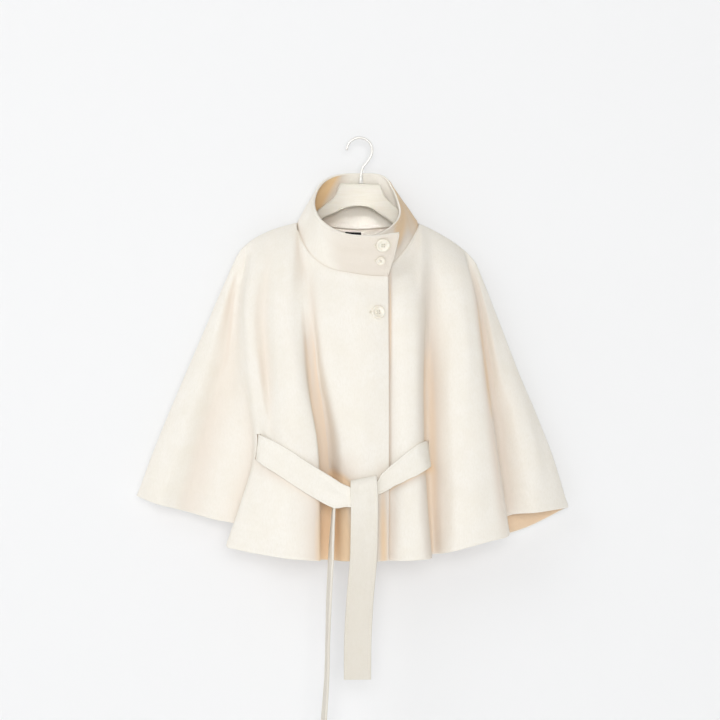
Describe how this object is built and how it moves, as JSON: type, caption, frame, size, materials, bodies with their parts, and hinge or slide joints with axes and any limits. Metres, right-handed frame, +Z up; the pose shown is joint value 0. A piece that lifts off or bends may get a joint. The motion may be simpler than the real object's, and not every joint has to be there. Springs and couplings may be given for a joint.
{
  "type": "belted cape jacket on a hanger",
  "caption": "Short cape jacket with a high buttoned collar, an overlapped front and a belt threaded through the fronts, hanging on a flat hanger with a wire hook.",
  "frame": {"origin": "inside the top of the wire hook's bend, where a rail or peg holds it", "axes": "+Z up; +X to the right of someone facing the front of the jacket; the front faces -Y"},
  "size_m": [0.7328, 0.155, 1.0174],
  "materials": {
    "wool_cloth": "cream coating wool with a short brushed nap, matte",
    "belt_cloth": "the same cream wool, doubled and pressed flat, matte",
    "button_plastic": "cream, satin",
    "label_tape": "black woven tape, blank, matte",
    "hanger_paint": "cream paint, satin",
    "hook_metal": "polished"
  },
  "bodies": {
    "root": {"front_right": "wool_cloth", "front_left": "wool_cloth", "back": "wool_cloth", "collar": "wool_cloth", "belt_run_right": "belt_cloth", "belt_run_left": "belt_cloth", "belt_back": "belt_cloth", "belt_tail_front": "belt_cloth", "belt_tail_side": "belt_cloth", "button_collar_top": "button_plastic", "button_collar_low": "button_plastic", "button_front": "button_plastic", "neck_label": "label_tape", "hanger_body": "hanger_paint", "hanger_ferrule": "hook_metal", "hanger_hook": "hook_metal"}
  },
  "joints": []
}
